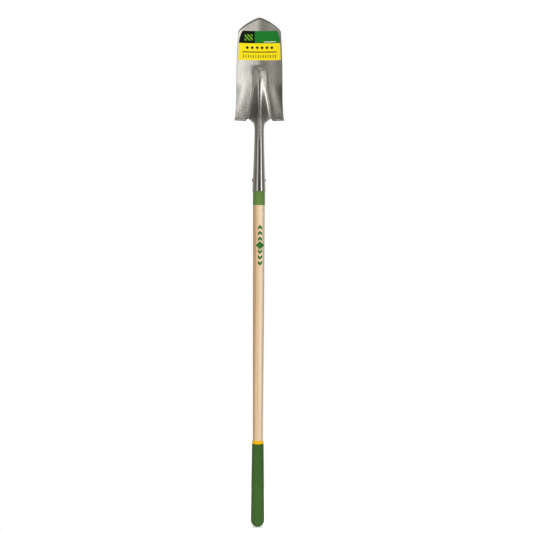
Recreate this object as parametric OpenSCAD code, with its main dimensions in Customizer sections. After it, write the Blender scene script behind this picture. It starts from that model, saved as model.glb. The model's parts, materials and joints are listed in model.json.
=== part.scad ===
// Long-handled trenching shovel, held blade up, its hollow front towards -Y and +X to the right.
// The origin is on the handle's axis, in the middle of the straight stretch that a wall clip grips.

/* [Blade] */
// Thickness of the steel sheet that the blade, frog and socket are pressed from
sheet_t = 1.9; // [1.4:0.1:2.6]
// Length of the blade from the underside of its steps to its shoulders
blade_len = 248.5; // [220:0.5:300]
// Height of the point above the shoulders
tip_len = 40; // [25:1:60]
// Radius of the two arcs that meet at the point
tip_arc_r = 137; // [90:1:300]
// Rounding of the very end of the point
tip_round = 2; // [0.5:0.5:6]
// Width across the shoulders
shoulder_w = 120; // [110:1:128]
// Rounding of the shoulders
shoulder_r = 3; // [1:0.5:8]
// Width of the blade at its waist
blade_w = 131.6; // [128:0.2:138]
// Height of the waist above the underside of the steps
waist_up = 94.5; // [70:0.5:140]
// Width across the outer ends of the steps
step_w = 140.8; // [138:0.2:150]
// Radius of the hollow across the blade
dish_r = 135; // [110:1:250]
// Radius of the hollow at the steps, where it is flatter
step_dish_r = 200; // [150:1:400]
// Height above the underside of the steps where the hollow begins to flatten
flat_up = 112.5; // [80:0.5:140]
// Angle that the blade leans forward from the handle's axis
lean = 9; // [4:0.5:14]
// How far the middle of the blade sits behind the handle's axis, at its root
setback = 13; // [9:0.5:16]
// Width of the bevel ground along the point
bevel_w = 4; // [2:0.5:8]
// Thickness that the bevel leaves at the edge
edge_t = 0.7; // [0.4:0.1:1.2]

/* [Steps] */
// Depth of each step, from the blade's front to the lip
step_depth = 9; // [7:0.5:16]
// Inside radius of the bend under the foot
step_bend_r = 3.6; // [2:0.2:5]
// Height of the frog's root above the bend of the steps
root_rise = 0.3; // [0.2:0.1:3]
// Gap between the frog's root and the inner end of each step, at the top of the bend
notch_w = 3; // [2:0.5:6]
// How much wider that gap is at the tread
notch_spread = 5.5; // [2:0.5:9]
// How far the outer end of each step stands out beyond the blade's side
step_ear = 1.4; // [0:0.2:3]

/* [Frog] */
// Distance from the shoulders of the blade down to the frog's blunt end
frog_drop = 91; // [80:1:120]
// Height of the frog at its root
frog_h = 26; // [18:0.5:30]
// Height of the frog just below its blunt end
frog_end_h = 6.2; // [2:0.1:9]
// Length over which the blunt end fades into the blade
frog_end_len = 19; // [10:1:30]
// Width of the frog's upper part
frog_w = 37; // [24:1:48]
// Width of the frog at its root
frog_root_w = 63; // [56:1:72]
// Height above the underside of the steps where the frog begins to spread
frog_spread_up = 95.5; // [60:0.5:120]

/* [Socket] */
// Length of the socket from its mouth to the narrowest place of the neck
socket_len = 170; // [140:1:220]
// Length of the neck from there to the underside of the steps
neck_len = 34; // [26:0.5:45]
// Outside diameter at the mouth
socket_d = 38.4; // [36.4:0.1:40]
// Outside diameter at the neck
neck_d = 26.8; // [24:0.1:30]
// How far the mouth is swaged out
swage = 0.6; // [0:0.1:1.2]
// Length of the swaged mouth
swage_len = 46; // [38:1:70]
// Gap of the seam at the back
seam_gap = 1.2; // [0.6:0.1:3]

/* [Handle] */
// Length from the butt of the grip to the mouth of the socket
handle_len = 965; // [900:1:1200]
// Distance from the mouth of the socket down to the middle of the straight stretch
clip_drop = 243; // [140:1:420]
// Length of the straight stretch
clip_len = 104; // [60:1:160]
// Diameter of the straight stretch
clip_d = 33.1; // [31:0.1:34]
// Diameter just below the collar
top_d = 34.6; // [34:0.1:36]
// Diameter just above the grip
low_d = 29; // [27:0.1:31]
// Diameter of the wood at the butt
butt_d = 30.4; // [29:0.1:32]
// Length of the tapered end inside the socket
tenon_len = 150; // [100:1:160]
// Clearance between the tapered end and the socket
tenon_fit = 0.25; // [0.2:0.05:0.6]

/* [Collar] */
// Length of the sleeve below the mouth of the socket
collar_len = 40; // [20:1:60]
// Thickness of the sleeve
collar_t = 0.65; // [0.5:0.05:0.8]
// Clearance where sleeves, rings and films seat
seat_gap = 0.1; // [0.05:0.05:0.3]

/* [Rivet] */
// Height of the rivet above the mouth of the socket
rivet_up = 32; // [20:1:38]
// Diameter of the shank
rivet_d = 6; // [4:0.1:7]
// Diameter of the domed head
rivet_head_d = 9; // [8:0.1:12]
// Height of the domed head
rivet_head_h = 2.1; // [1.5:0.1:3]
// Diameter of the peened end
rivet_tail_d = 7.6; // [7.4:0.1:10]
// Height of the peened end
rivet_tail_h = 1.3; // [0.8:0.1:2]
// Clearance of the shank in its holes
rivet_fit = 0.15; // [0.05:0.05:0.3]

/* [Grip] */
// Length of the grip
grip_len = 240; // [150:1:300]
// Diameter of the grip at its upper end
grip_top_d = 33.3; // [33:0.1:36]
// Largest diameter of the grip, above its round end
grip_d = 39; // [36:0.1:42]
// Height of the round end
grip_end_h = 20; // [14:0.5:26]
// Thickness of the closed end
grip_end_t = 6; // [4:0.5:10]
// Length of the ring above the grip
ring_len = 9.2; // [6:0.2:16]
// Diameter of the ring at its lower end
ring_d = 32.7; // [32.2:0.1:33.4]
// Diameter of the ring at its upper end
ring_top_d = 30.9; // [30.7:0.1:32]

/* [Label] */
// How far the label's upper edge stands above the shoulders of the blade
label_rise = 3; // [-10:0.5:4]
// Height of the label
label_len = 80.5; // [50:0.5:82]
// Width of the label along its lower edge
label_w = 122; // [80:1:124]
// Width of the label where its upper panel begins to draw in
label_mid_w = 117.6; // [80:0.2:120]
// Width of the label along its upper edge
label_top_w = 97; // [60:1:100]
// Height of the upper panel
label_panel_len = 34; // [20:1:40]
// Thickness of the label
label_t = 0.25; // [0.15:0.05:0.4]

/* [Hidden] */
$fn = 96;

// Levels along the handle's axis
z_mouth = clip_drop;
z_butt = z_mouth - handle_len;
z_grip = z_butt + grip_len;
z_ring = z_grip + ring_len;
z_collar = z_mouth - collar_len;
z_rivet = z_mouth + rivet_up;
z_neck = z_mouth + socket_len;
z_step = z_neck + neck_len;
bend_mid_r = step_bend_r + sheet_t / 2;
bend_top = z_step + sheet_t / 2 + bend_mid_r * (1 + sin(lean));
z_root = bend_top + root_rise;
z_waist = z_step + waist_up;
z_shoulder = z_step + blade_len;
z_tip = z_shoulder + tip_len;
z_frog_end = z_shoulder - frog_drop;
z_label = z_shoulder + label_rise - label_len;

// Small functions
function share(from, to, at) = min(1, max(0, (at - from) / (to - from)));
function ease(s) = s * s * (3 - 2 * s);
function mix(a, b, s) = a + (b - a) * s;
function unit(v) = v / norm(v);
function hermite(s, from, from_slope, to, to_slope) =
    from * (2 * s ^ 3 - 3 * s ^ 2 + 1) + from_slope * (s ^ 3 - 2 * s ^ 2 + s)
    + to * (3 * s ^ 2 - 2 * s ^ 3) + to_slope * (s ^ 3 - s ^ 2);

// Blade: outline
// Half the blade's width at a height, drawn in to the shoulders and spread to the steps
function side(z) =
    blade_w / 2
    - (blade_w - shoulder_w) / 2 * share(z_waist, z_shoulder, z) ^ 2
    + (step_w - blade_w) / 2 * share(z_waist, z_step, z) ^ 2;
// Drop of the edge below the tip, at a distance from the middle: an arc, rounded at tip and shoulder
tip_half = shoulder_w / 2;
tip_chord = norm([tip_half, tip_len]);
tip_rise = sqrt(tip_arc_r ^ 2 - tip_chord ^ 2 / 4);
tip_centre = [tip_half / 2 - tip_rise * tip_len / tip_chord, tip_len / 2 + tip_rise * tip_half / tip_chord];
function blunt(x) = sqrt(x ^ 2 + tip_round ^ 2) - tip_round;
function tip_drop(x) =
    tip_centre.y - sqrt(tip_arc_r ^ 2 - (blunt(x) * tip_half / blunt(tip_half) - tip_centre.x) ^ 2)
    + shoulder_r - sqrt(shoulder_r ^ 2 - max(0, x - tip_half + shoulder_r) ^ 2);

// Blade: middle of the sheet
// The frog's section is a gable with a rounded crest and filleted toes
crest_round = 0.29;
toe_round = 0.24;
gable_reach = sqrt(1 + 2 * crest_round);
function gable(s) =
    let (flank = 1 + crest_round - sqrt(s ^ 2 + crest_round ^ 2))
    (flank + sqrt(flank ^ 2 + toe_round ^ 2)) / (1 + sqrt(1 + toe_round ^ 2));
function frog_half(z) =
    mix(frog_w, frog_root_w, share(z_step + frog_spread_up, z_root, z)) / 2 / gable_reach;
frog_fall_power = 1.6;
function frog_height(z) =
    mix(frog_end_h, frog_h, (1 - share(z_root, z_frog_end - frog_end_len, z)) ^ frog_fall_power)
    * (1 - ease(share(z_frog_end - frog_end_len, z_frog_end, z)));
function dish(x, z) =
    let (r = mix(dish_r, step_dish_r, ease(share(z_step + flat_up, z_step, z))))
    r - sqrt(r ^ 2 - x ^ 2);
function blade_back(z) = setback - tan(lean) * (z - z_root);
function wing(x, z) = [x, blade_back(z) - dish(x, z), z];
function blade_mid(x, z) = wing(x, z) - [0, frog_height(z) * gable(x / frog_half(z)), 0];

// Socket: a rolled cone whose edges meet in a seam at the back
function socket_core_r(z) = mix(neck_d, socket_d - 2 * swage, share(z_neck, z_mouth, z)) / 2;
swage_fade = 28;
function socket_r(z) =
    socket_core_r(z)
    + swage * (1 - ease(share(z_mouth + swage_len - swage_fade, z_mouth + swage_len + swage_fade, z)));
function socket_mid(s, z) =
    let (r = socket_r(z) - sheet_t / 2, turn = s * (180 - seam_gap / r * 90 / PI))
    [r * sin(turn), -r * cos(turn), z];

// Neck: the rolled cone opens out at the back into the arch of the frog's root
neck_bend = 24;
neck_open_power = 2.1;
root_half = frog_root_w / 2;
z_bend = z_neck - neck_bend;
function crest_y(z) =
    let (long = z_root - z_bend, s = share(z_bend, z_root, z))
    hermite(s, socket_mid(0, z_bend).y, long * (socket_mid(0, z_neck).y - socket_mid(0, z_bend).y) / neck_bend,
        blade_mid(0, z_root).y, long * (blade_mid(0, z_root + 1).y - blade_mid(0, z_root).y));
function neck_mid(s, z) =
    let (open = share(z_neck - neck_bend / 8, z_root, z) ^ neck_open_power,
        rolled = socket_mid(s, z),
        arch = blade_mid(s * root_half, z_root),
        crest = mix(socket_mid(0, z).y, blade_mid(0, z_root).y, open))
    [mix(rolled.x, arch.x, open),
        mix(rolled.y, arch.y, open) + (z > z_bend ? crest_y(z) - crest : 0), z];

// Steps: the sheet bends forward under the foot
bend_rows = 5;
function step_mid(x, row) =
    let (turn = mix(90, -lean, max(0, row - 1) / bend_rows),
        out = row == 0 ? step_depth - bend_mid_r : 0,
        top = wing(x, bend_top))
    [x, top.y + bend_mid_r * (cos(turn) - cos(lean)) - out, bend_top - bend_mid_r * (sin(turn) + sin(lean))];

// Grid of the sheet: columns run across it, rows from the mouth of the socket to the point
core_cols = 14;
wing_cols = 7;
cols = core_cols + wing_cols;
socket_rows = [for (up = [0, 1, 2]) z_mouth + up / 2 * (swage_len - swage_fade)];
swage_rows = [for (up = [-1, 0, 1, 2]) z_mouth + swage_len + up * swage_fade / 2];
cone_rows = 4;
cone_from = z_mouth + swage_len + swage_fade;
neck_rows = 15;
core_z = concat(socket_rows, swage_rows,
    [for (k = [1 : cone_rows]) mix(cone_from, z_bend, k / cone_rows)],
    [for (k = [1 : neck_rows - 1]) mix(z_bend, z_root, k / neck_rows)]);
root_row = len(core_z);
blade_rows = 30;
last_row = root_row + blade_rows + 1;
step_rows = bend_rows + 2;
function column_x(c, z, spread = 0, ear = 0) =
    let (out = (abs(c) - core_cols - 1) / (wing_cols - 1))
    abs(c) <= core_cols ? root_half * c / core_cols
    : sign(c) * mix(root_half + notch_w + spread, side(z) + ear, out);
function tip_z(c) = z_tip - tip_drop(min(abs(column_x(c, z_shoulder)), tip_half));
function blade_z(c, row) =
    row > blade_rows ? tip_z(c) : mix(z_root, tip_z(c) - bevel_w, row / blade_rows);
function first_row(c) =
    abs(c) <= core_cols ? 0 : root_row - step_rows;
function sheet_mid(c, row) =
    row >= root_row
    ? let (z = blade_z(c, row - root_row)) blade_mid(column_x(c, z), z)
    : abs(c) <= core_cols
    ? neck_mid(c / core_cols, core_z[row])
    : let (up = max(0, row - first_row(c)), low = 1 - share(1, step_rows, up))
    step_mid(column_x(c, z_step, notch_spread * low, step_ear * low), up);
function in_cell(c, row) =
    abs(c + 0.5) <= cols && row >= 0 && row < last_row
    && (row >= root_row || abs(c + 0.5) < core_cols
        || (abs(c + 0.5) > core_cols + 1 && row >= root_row - step_rows));
function joined(c, row) = row >= root_row || in_cell(c, row);
// The front of the sheet, square to it; a step's tread is exactly level
function sheet_normal(mid, c, row) =
    let (tread = row < root_row && abs(c) > core_cols && row - first_row(c) < 2,
        left = max(-cols, joined(c - 1, row) ? c - 1 : c),
        right = min(cols, joined(c, row) ? c + 1 : c),
        low = max(first_row(c), row - 1),
        high = min(last_row, row + 1))
    tread ? [0, 0, 1]
    : unit(cross(mid[right + cols][row] - mid[left + cols][row], mid[c + cols][high] - mid[c + cols][low]));

// A closed sheet from a front and a back grid of points, over the cells that the test function keeps
module sheet(front, back, keep) {
    wide = len(front);
    tall = len(front[0]);
    points = [for (grid = [front, back]) for (line = grid) each line];
    function f(c, r) = c * tall + r;
    function b(c, r) = wide * tall + c * tall + r;
    function two(a, b, c, d, mirrored) = mirrored ? [[a, b, d], [b, c, d]] : [[a, b, c], [a, c, d]];
    faces = [for (c = [0 : wide - 2]) for (r = [0 : tall - 2]) if (keep(c, r))
        let (right = c >= (wide - 1) / 2)
        each concat(
            two(f(c, r), f(c, r + 1), f(c + 1, r + 1), f(c + 1, r), right),
            two(b(c, r + 1), b(c, r), b(c + 1, r), b(c + 1, r + 1), right),
            keep(c - 1, r) ? [] : two(f(c, r), b(c, r), b(c, r + 1), f(c, r + 1), false),
            keep(c + 1, r) ? [] : two(f(c + 1, r + 1), b(c + 1, r + 1), b(c + 1, r), f(c + 1, r), false),
            keep(c, r - 1) ? [] : two(f(c, r), f(c + 1, r), b(c + 1, r), b(c, r), false),
            keep(c, r + 1) ? [] : two(f(c + 1, r + 1), f(c, r + 1), b(c, r + 1), b(c + 1, r + 1), false))];
    polyhedron(points, faces, convexity = 10);
}

// One pressed sheet: point, hollow blade, frog, steps turned forward, neck and rolled socket
module blade() {
    mid = [for (c = [-cols : cols]) [for (r = [0 : last_row]) sheet_mid(c, r)]];
    normals = [for (c = [-cols : cols]) [for (r = [0 : last_row]) sheet_normal(mid, c, r)]];
    function rise(r) = r == last_row ? edge_t - sheet_t / 2 : sheet_t / 2;
    front = [for (c = [0 : 2 * cols]) [for (r = [0 : last_row]) mid[c][r] + normals[c][r] * rise(r)]];
    back = [for (c = [0 : 2 * cols]) [for (r = [0 : last_row]) mid[c][r] - normals[c][r] * sheet_t / 2]];
    color("silver") difference() {
        sheet(front, back, function (c, r) in_cell(c - cols, r));
        rivet_hole();
    }
}

module rivet_hole() {
    translate([0, 0, z_rivet]) rotate([0, 90, 0])
        cylinder(d = rivet_d + 2 * rivet_fit, h = 2 * socket_d, center = true);
}

// Turned wood: swells towards the collar, straight where a clip grips it, tapered end in the socket
butt_chamfer = 4;
collar_seat_r = top_d / 2 - collar_t - seat_gap;
tenon_shoulder = 4;
function tenon_r(z) = socket_core_r(z) - sheet_t - tenon_fit;
function shaft_r(z) =
    z < z_ring ? mix(butt_d, low_d, share(z_butt, z_ring, z)) / 2
    : z < -clip_len / 2 ? mix(low_d, clip_d, share(z_ring, -clip_len / 2, z)) / 2
    : mix(clip_d, top_d, share(clip_len / 2, z_collar, z)) / 2;
module handle() {
    z_end = z_butt + grip_end_t;
    color("burlywood") difference() {
        rotate_extrude() polygon([
            [0, z_end],
            [shaft_r(z_end) - butt_chamfer, z_end],
            [shaft_r(z_end + butt_chamfer), z_end + butt_chamfer],
            [low_d / 2, z_ring],
            [clip_d / 2, -clip_len / 2],
            [clip_d / 2, clip_len / 2],
            [top_d / 2, z_collar],
            [collar_seat_r, z_collar],
            [collar_seat_r, z_mouth - tenon_shoulder],
            [tenon_r(z_mouth), z_mouth],
            [tenon_r(z_mouth + tenon_len), z_mouth + tenon_len],
            [0, z_mouth + tenon_len]
        ]);
        rivet_hole();
    }
}

// Thin plastic sleeve in a rebate of the wood, flush with it, butted against the socket
collar_edge = 0.3;
module collar() {
    inner = top_d / 2 - collar_t;
    outer = top_d / 2;
    color("olivedrab") rotate_extrude() polygon([
        [inner, z_collar + seat_gap],
        [outer - collar_edge, z_collar + seat_gap],
        [outer, z_collar + seat_gap + collar_edge],
        [outer, z_mouth - seat_gap],
        [inner, z_mouth - seat_gap]
    ]);
}

// Cross rivet through the socket and the wood, domed at the left and peened over at the right
dome_steps = 6;
function dome(d, h, out) =
    let (r = (d ^ 2 / 4 + h ^ 2) / (2 * h), reach = asin(d / 2 / r))
    [for (k = [0 : dome_steps]) let (a = reach * (1 - k / dome_steps)) [r * sin(a), out * (r * cos(a) + h - r)]];
module rivet() {
    seat = socket_r(z_rivet - rivet_head_d / 2) + seat_gap;
    head = [for (p = dome(rivet_head_d, rivet_head_h, 1)) p + [0, seat]];
    tail = [for (p = dome(rivet_tail_d, rivet_tail_h, -1)) p - [0, seat]];
    color("dimgray") translate([0, 0, z_rivet]) rotate([0, -90, 0]) rotate_extrude() polygon(concat(
        [[0, -seat - rivet_tail_h]],
        [for (k = [dome_steps - 1 : -1 : 0]) tail[k]],
        [[rivet_d / 2, -seat], [rivet_d / 2, seat]],
        [for (k = [0 : dome_steps]) head[k]]
    ));
}

// Moulded sleeve with a closed round end, swelling towards the butt
end_steps = 12;
grip_edge = 0.8;
module grip() {
    z_dome = z_butt + grip_end_h;
    inner_end = z_butt + grip_end_t - seat_gap;
    color("darkolivegreen") rotate_extrude() polygon(concat(
        [for (k = [0 : end_steps]) let (a = 90 - 90 * k / end_steps)
            [grip_d / 2 * cos(a), z_dome - grip_end_h * sin(a)]],
        [[grip_top_d / 2, z_grip - grip_edge],
            [grip_top_d / 2 - grip_edge, z_grip],
            [shaft_r(z_grip) + seat_gap, z_grip],
            [shaft_r(inner_end + butt_chamfer) + seat_gap, inner_end + butt_chamfer],
            [shaft_r(inner_end) - butt_chamfer + seat_gap, inner_end],
            [0, inner_end]]
    ));
}

// Coloured ring that closes the upper end of the grip
ring_edge = 0.5;
module grip_ring() {
    low = z_grip + seat_gap;
    color("gold") rotate_extrude() polygon([
        [shaft_r(low) + seat_gap, low],
        [ring_d / 2, low],
        [ring_top_d / 2, z_ring - ring_edge],
        [ring_top_d / 2 - ring_edge, z_ring],
        [shaft_r(z_ring) + seat_gap, z_ring]
    ]);
}

// Printed film on the hollow of the blade, its ends square to the blade, its upper panel drawn in at the sides
label_cols = 24;
label_rows = 12;
function label_half(z) =
    let (z_top = z_label + label_len, z_mid = z_top - label_panel_len)
    mix(mix(label_w, label_mid_w, share(z_label, z_mid, z)), label_top_w, share(z_mid, z_top, z) ^ 2) / 2;
function wing_normal(x) = unit([-x / sqrt(dish_r ^ 2 - x ^ 2), -1, -tan(lean)]);
function label_point(c, r, out) =
    let (up = z_label + label_len * r / label_rows,
        x = mix(-1, 1, c / label_cols) * label_half(up),
        z = up - dish(x, up) * sin(lean) * cos(lean))
    wing(x, z) + wing_normal(x) * (sheet_t / 2 + out);
module blade_label() {
    front = [for (c = [0 : label_cols]) [for (r = [0 : label_rows]) label_point(c, r, seat_gap + label_t)]];
    back = [for (c = [0 : label_cols]) [for (r = [0 : label_rows]) label_point(c, r, seat_gap)]];
    color("gold") sheet(front, back,
        function (c, r) c >= 0 && c < label_cols && r >= 0 && r < label_rows);
}

blade();
handle();
collar();
rivet();
grip();
grip_ring();
blade_label();
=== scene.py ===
"""Looks of a long-handled trenching shovel, in metres, in the frame of its solids.

+Z runs along the handle to the point of the blade, -Y out of the blade's hollow front.
"""

import json
import math

import bmesh
import bpy
import numpy as np
from mathutils import Matrix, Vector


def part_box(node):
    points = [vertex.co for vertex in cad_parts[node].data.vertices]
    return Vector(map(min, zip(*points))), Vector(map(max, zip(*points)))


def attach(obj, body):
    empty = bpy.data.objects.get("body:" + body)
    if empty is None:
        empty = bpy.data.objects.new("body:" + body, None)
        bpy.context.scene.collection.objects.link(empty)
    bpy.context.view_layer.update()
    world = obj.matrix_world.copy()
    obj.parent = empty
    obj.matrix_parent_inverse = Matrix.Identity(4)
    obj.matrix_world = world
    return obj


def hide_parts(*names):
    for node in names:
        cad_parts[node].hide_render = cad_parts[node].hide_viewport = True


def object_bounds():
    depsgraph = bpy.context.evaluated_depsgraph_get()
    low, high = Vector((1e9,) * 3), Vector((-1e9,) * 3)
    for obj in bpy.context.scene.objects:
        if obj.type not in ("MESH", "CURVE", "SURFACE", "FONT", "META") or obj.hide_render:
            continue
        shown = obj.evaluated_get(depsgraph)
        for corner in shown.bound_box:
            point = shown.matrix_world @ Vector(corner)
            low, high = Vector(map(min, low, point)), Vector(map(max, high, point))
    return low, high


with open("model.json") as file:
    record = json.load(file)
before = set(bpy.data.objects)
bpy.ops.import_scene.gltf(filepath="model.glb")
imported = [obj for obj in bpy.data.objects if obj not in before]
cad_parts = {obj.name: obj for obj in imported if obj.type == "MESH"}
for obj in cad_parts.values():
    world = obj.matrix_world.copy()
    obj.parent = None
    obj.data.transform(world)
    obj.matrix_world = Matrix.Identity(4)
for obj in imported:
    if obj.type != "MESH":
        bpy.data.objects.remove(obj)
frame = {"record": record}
solid_low, solid_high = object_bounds()


# Blade: one blank of sheet steel, pressed into the hollow blade with its frog and steps, and rolled into
# the socket that is driven onto the handle. The steel is bare: brushed lengthways, ground along the point,
# dull at the neck and polished at the socket.
sheet_t = 0.0019
seat_gap = 0.0001
lean = math.radians(9)
mounts = {mount["name"]: mount for mount in frame["record"]["mounts"]}
mouth_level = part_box("collar")[1].z + seat_gap
step_level = mounts["right_step"]["pos_m"][2]
neck_len, waist_up, blade_len, tip_len, frog_drop = 0.034, 0.0945, 0.2485, 0.040, 0.091
neck_level = step_level - neck_len
waist_level = step_level + waist_up
shoulder_level = step_level + blade_len
tip_level = shoulder_level + tip_len
frog_end_level = shoulder_level - frog_drop
step_bend_r, root_rise = 0.0036, 0.0003
bend_mid_r = step_bend_r + sheet_t / 2
bend_top = step_level + sheet_t / 2 + bend_mid_r * (1 + math.sin(lean))
root_level = bend_top + root_rise


def share(start, end, at):
    """How far a place lies from start to end, from 0 to 1."""
    return np.clip((at - start) / (end - start), 0, 1)


def ease(s):
    return s * s * (3 - 2 * s)


def mix(a, b, s):
    return a + (b - a) * s


# Outline: half width at a height, and how far the edge drops from the tip towards the shoulders
shoulder_w, waist_w, step_w = 0.120, 0.1316, 0.1408
shoulder_round, tip_round, tip_arc_r = 0.003, 0.002, 0.137
tip_half = shoulder_w / 2
tip_chord = math.hypot(tip_half, tip_len)
tip_sag = math.sqrt(tip_arc_r ** 2 - tip_chord ** 2 / 4)
tip_centre_x = tip_half / 2 - tip_sag * tip_len / tip_chord
tip_centre_drop = tip_len / 2 + tip_sag * tip_half / tip_chord


def blade_side(z):
    drawn_in = (waist_w - shoulder_w) / 2 * share(waist_level, shoulder_level, z) ** 2
    spread = (step_w - waist_w) / 2 * share(waist_level, step_level, z) ** 2
    return waist_w / 2 - drawn_in + spread


def tip_drop(x):
    blunt = (np.hypot(x, tip_round) - tip_round) / (math.hypot(tip_half, tip_round) - tip_round) * tip_half
    in_corner = np.maximum(0, x - tip_half + shoulder_round)
    rounding = shoulder_round - np.sqrt(shoulder_round ** 2 - in_corner ** 2)
    return tip_centre_drop - np.sqrt(tip_arc_r ** 2 - (blunt - tip_centre_x) ** 2) + rounding


# Hollow and frog: the frog's section is a gable with a rounded crest and filleted toes
setback, dish_r, step_dish_r, flat_up = 0.013, 0.135, 0.200, 0.1125
frog_h, frog_end_h, frog_end_len, frog_fall_power = 0.026, 0.0062, 0.019, 1.6
frog_w, frog_root_w, frog_spread_up = 0.037, 0.063, 0.0955
crest_round, toe_round = 0.29, 0.24


def gable(s):
    flank = 1 + crest_round - np.sqrt(s ** 2 + crest_round ** 2)
    return (flank + np.sqrt(flank ** 2 + toe_round ** 2)) / (1 + math.sqrt(1 + toe_round ** 2))


def frog_half(z):
    wide = mix(frog_w, frog_root_w, share(step_level + frog_spread_up, root_level, z))
    return wide / 2 / math.sqrt(1 + 2 * crest_round)


def frog_height(z):
    low_end = frog_end_level - frog_end_len
    fall = (1 - share(root_level, low_end, z)) ** frog_fall_power
    return mix(frog_end_h, frog_h, fall) * (1 - ease(share(low_end, frog_end_level, z)))


def dish(x, z):
    r = mix(dish_r, step_dish_r, ease(share(step_level + flat_up, step_level, z)))
    return r - np.sqrt(r ** 2 - x ** 2)


def wing_y(x, z):
    return setback - math.tan(lean) * (z - root_level) - dish(x, z)


def blade_y(x, z):
    return wing_y(x, z) - frog_height(z) * gable(x / frog_half(z))


# Socket and neck: a rolled cone with a seam at the back, which opens into the arch of the frog's root
socket_d, neck_d, seam_gap = 0.0384, 0.0268, 0.0012
swage, swage_len, swage_fade = 0.0006, 0.046, 0.028
swage_low, swage_high = mouth_level + swage_len - swage_fade, mouth_level + swage_len + swage_fade
neck_bend, neck_open_power = 0.024, 2.1
bend_level = neck_level - neck_bend
open_level = neck_level - neck_bend / 8
root_half = frog_root_w / 2
slope_probe = 0.001


def socket_r(z):
    swaged = 1 - ease(share(swage_low, swage_high, z))
    return mix(neck_d, socket_d - 2 * swage, share(neck_level, mouth_level, z)) / 2 + swage * swaged


def rolled(s, z):
    r = socket_r(z) - sheet_t / 2
    turn = s * (math.pi - seam_gap / r / 2)
    return r * np.sin(turn), -r * np.cos(turn)


def crest_line(z):
    """A curve from the front of the cone to the frog's crest, with the slopes that they have there."""
    length = root_level - bend_level
    s = share(bend_level, root_level, z)
    start, end = rolled(0, bend_level)[1], blade_y(0, root_level)
    start_slope = length * (rolled(0, neck_level)[1] - start) / neck_bend
    end_slope = length * (blade_y(0, root_level + slope_probe) - end) / slope_probe
    return (start * (2 * s ** 3 - 3 * s ** 2 + 1) + start_slope * (s ** 3 - 2 * s ** 2 + s)
            + end * (3 * s ** 2 - 2 * s ** 3) + end_slope * (s ** 3 - s ** 2))


def neck_point(s, z):
    opened = share(open_level, root_level, z) ** neck_open_power
    rolled_x, rolled_y = rolled(s, z)
    arch_x, arch_y = s * root_half, blade_y(s * root_half, root_level)
    crest = mix(rolled(0, z)[1], blade_y(0, root_level), opened)
    bent = np.where(z > bend_level, crest_line(z) - crest, 0)
    x, y = mix(rolled_x, arch_x, opened), mix(rolled_y, arch_y, opened) + bent
    return np.stack(np.broadcast_arrays(x, y, z), -1)


# Steps: the lower edge bends forward under the foot, its inner end cut back in a sloping notch
step_depth, notch_w, notch_spread, step_ear = 0.009, 0.003, 0.0055, 0.0014


def step_point(x, turn, out):
    y = wing_y(x, bend_top) + bend_mid_r * (np.cos(turn) - math.cos(lean)) - out
    z = bend_top - bend_mid_r * (np.sin(turn) + math.sin(lean))
    return np.stack(np.broadcast_arrays(x, y, z), -1)


# Grid of the sheet: columns across it, rows from the mouth of the socket to the point
core_cols, wing_cols = 44, 22
mouth_rows, swage_rows, cone_rows, neck_rows = 12, 14, 20, 60
tread_rows, bend_rows, blade_rows, bevel_rows = 4, 12, 150, 4
bevel_w, edge_t = 0.004, 0.0007
core_levels = np.concatenate([
    np.linspace(mouth_level, swage_low, mouth_rows, endpoint=False),
    np.linspace(swage_low, swage_high, swage_rows, endpoint=False),
    np.linspace(swage_high, bend_level, cone_rows, endpoint=False),
    np.linspace(bend_level, root_level, neck_rows, endpoint=False)])
columns = np.arange(-core_cols - wing_cols, core_cols + wing_cols + 1)
is_core = np.abs(columns) <= core_cols
root_row = len(core_levels)
row_count = root_row + blade_rows + bevel_rows + 1
step_row = root_row - tread_rows - bend_rows - 1


def column_x(z, spread=0.0, ear=0.0):
    out = ((np.abs(columns) - core_cols - 1) / (wing_cols - 1))[:, None]
    wing = np.sign(columns)[:, None] * mix(root_half + notch_w + spread, blade_side(z) + ear, out)
    return np.where(is_core[:, None], root_half * columns[:, None] / core_cols, wing)


tip_x = np.minimum(np.abs(column_x(np.array([[shoulder_level]]))), tip_half)
edge_z = tip_level - tip_drop(tip_x)
up = np.linspace(0, 1, blade_rows + 1)[None, :]
over_bevel = np.arange(1, bevel_rows + 1) / bevel_rows
blade_z = np.concatenate([mix(root_level, edge_z - bevel_w, up),
                          edge_z - bevel_w * (1 - over_bevel[None, :])], axis=1)
blade_x = column_x(blade_z)
middle = np.zeros((len(columns), row_count, 3))
middle[:, root_row:] = np.stack([blade_x, blade_y(blade_x, blade_z), blade_z], -1)
middle[is_core, :root_row] = neck_point((columns[is_core] / core_cols)[:, None], core_levels[None, :])
past_tread = np.arange(root_row - step_row)[None, :] - tread_rows
bend_turn = mix(math.pi / 2, -lean, np.clip(past_tread / bend_rows, 0, 1))
tread_out = np.maximum(0, -past_tread) / tread_rows * (step_depth - bend_mid_r)
lowness = 1 - np.clip(past_tread / (bend_rows + 1), 0, 1)
step_x = column_x(np.full_like(bend_turn, step_level), notch_spread * lowness, step_ear * lowness)
step_points = step_point(step_x, bend_turn, tread_out)
middle[~is_core, step_row:root_row] = step_points[~is_core]

# Normals follow the sheet; the notches part the steps from the neck
across, along = np.zeros_like(middle), np.zeros_like(middle)
left_wing, right_wing = columns < -core_cols, columns > core_cols
shortest = 1e-12
for patch in (left_wing, is_core, right_wing):
    first = 0 if patch is is_core else step_row
    across[patch, first:root_row] = np.gradient(middle[patch, first:root_row], axis=0)
    along[patch, first:] = np.gradient(middle[patch, first:], axis=1)
across[:, root_row:] = np.gradient(middle[:, root_row:], axis=0)
normal = np.cross(across, along)
normal /= np.maximum(np.linalg.norm(normal, axis=-1, keepdims=True), shortest)
front_rise = np.full(row_count, sheet_t / 2)
front_rise[-bevel_rows:] = mix(sheet_t / 2, edge_t - sheet_t / 2, over_bevel)


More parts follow.
